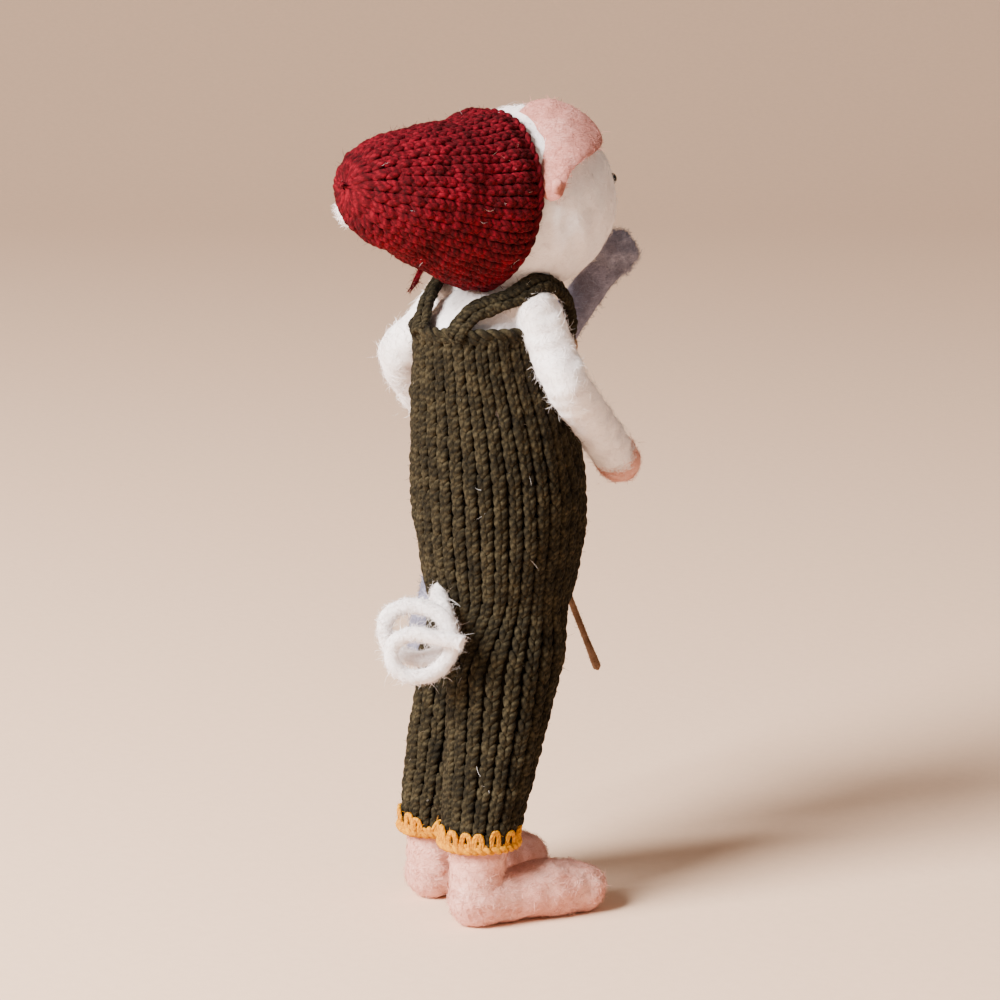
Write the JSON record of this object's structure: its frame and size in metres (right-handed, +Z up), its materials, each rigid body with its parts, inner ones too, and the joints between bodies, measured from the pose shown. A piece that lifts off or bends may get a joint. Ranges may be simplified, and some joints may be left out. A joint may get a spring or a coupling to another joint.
{
  "type": "felt mouse doll",
  "caption": "Needle-felted mouse doll on a bendable wire armature, in knitted dungarees and hat, with a felt goose under its arm.",
  "frame": {"origin": "on the floor, in the middle of the right sole", "axes": "+Z up, the doll faces -Y, +X is the doll's own left"},
  "size_m": [0.0853, 0.1063, 0.2239],
  "materials": {
    "white_felt": "matte needle felt",
    "pink_felt": "matte needle felt",
    "olive_knit": "wool stocking stitch",
    "mustard_yarn": "crocheted wool",
    "red_knit": "wool stocking stitch",
    "grey_felt": "matte needle felt",
    "brown_felt": "wool-wrapped wire",
    "black_bead": "gloss",
    "wood_button": "satin",
    "steel_wire": "bright drawn"
  },
  "bodies": {
    "torso": {"torso_felt": "white_felt", "armature_spine": "steel_wire", "dungarees_trunk": "olive_knit", "edging_front": "olive_knit", "edging_back": "olive_knit", "strap_left": "olive_knit", "strap_right": "olive_knit", "button_left": "wood_button", "button_right": "wood_button"},
    "head": {"head_felt": "white_felt", "snout": "white_felt", "nose": "pink_felt", "eye_left": "black_bead", "eye_right": "black_bead", "ear_left": "pink_felt", "ear_right": "pink_felt"},
    "hat": {"hat_knit": "red_knit", "hat_brim": "red_knit", "hat_bobble": "white_felt", "hat_yarn_end": "red_knit"},
    "tail": {"tail_felt": "white_felt", "tail_wire": "steel_wire"},
    "goose": {"goose_body": "grey_felt", "goose_tail": "grey_felt", "goose_head": "grey_felt", "goose_neck": "grey_felt", "goose_beak": "brown_felt", "goose_eye_left": "black_bead", "goose_eye_right": "black_bead", "goose_wing_left": "grey_felt", "goose_wing_right": "grey_felt", "goose_leg_left": "brown_felt", "goose_leg_right": "brown_felt", "goose_foot_left": "brown_felt", "goose_foot_right": "brown_felt"},
    "upper_arm_left": {"upper_arm_left": "white_felt", "arm_wire_left": "steel_wire"},
    "forearm_left": {"forearm_left": "white_felt", "forearm_wire_left": "steel_wire", "hand_left": "pink_felt"},
    "leg_left": {"leg_felt_left": "white_felt", "leg_wire_left": "steel_wire", "trouser_leg_left": "olive_knit", "cuff_trim_left": "mustard_yarn", "foot_left": "pink_felt"},
    "upper_arm_right": {"upper_arm_right": "white_felt", "arm_wire_right": "steel_wire"},
    "forearm_right": {"forearm_right": "white_felt", "forearm_wire_right": "steel_wire", "hand_right": "pink_felt"},
    "leg_right": {"leg_felt_right": "white_felt", "leg_wire_right": "steel_wire", "trouser_leg_right": "olive_knit", "cuff_trim_right": "mustard_yarn", "foot_right": "pink_felt"}
  },
  "joints": [
    {"name": "head_turn", "type": "hinge", "parent": "torso", "child": "head", "pos_m": [0.018, -0.0116, 0.1932], "axis": [0, 0, 1], "range_deg": [-10, 10]},
    {"name": "hat_pull", "type": "slide", "parent": "head", "child": "hat", "axis": [0, 0.9903, 0.1392], "range_m": [0, 0.06]},
    {"name": "tail_lift", "type": "hinge", "parent": "torso", "child": "tail", "pos_m": [0.018, 0.0165, 0.089], "axis": [1, 0, 0], "range_deg": [0, 35]},
    {"name": "goose_slide", "type": "slide", "parent": "torso", "child": "goose", "axis": [-0.5026, -0.8645, 0], "range_m": [0, 0.03]},
    {"name": "shoulder_right", "type": "hinge", "parent": "torso", "child": "upper_arm_right", "pos_m": [0.0005, -0.0026, 0.165], "axis": [0, 1, 0], "range_deg": [0, 60]},
    {"name": "elbow_right", "type": "hinge", "parent": "upper_arm_right", "child": "forearm_right", "pos_m": [-0.007, -0.0071, 0.147], "axis": [0.6451, 0.6335, -0.4272], "range_deg": [0, 40]},
    {"name": "hip_right", "type": "hinge", "parent": "torso", "child": "leg_right", "pos_m": [0.018, -0.0026, 0.078], "axis": [0.9781, -0.2079, 0], "range_deg": [-30, 10]},
    {"name": "shoulder_left", "type": "hinge", "parent": "torso", "child": "upper_arm_left", "pos_m": [0.0355, -0.0006, 0.165], "axis": [0, -1, 0], "range_deg": [0, 40]},
    {"name": "elbow_left", "type": "hinge", "parent": "upper_arm_left", "child": "forearm_left", "pos_m": [0.053, 0.0029, 0.148], "axis": [0.6843, -0.3702, 0.6282], "range_deg": [0, 40]},
    {"name": "hip_left", "type": "hinge", "parent": "torso", "child": "leg_left", "pos_m": [0.018, -0.0026, 0.078], "axis": [0.9781, -0.2079, 0], "range_deg": [-30, 10]}
  ]
}
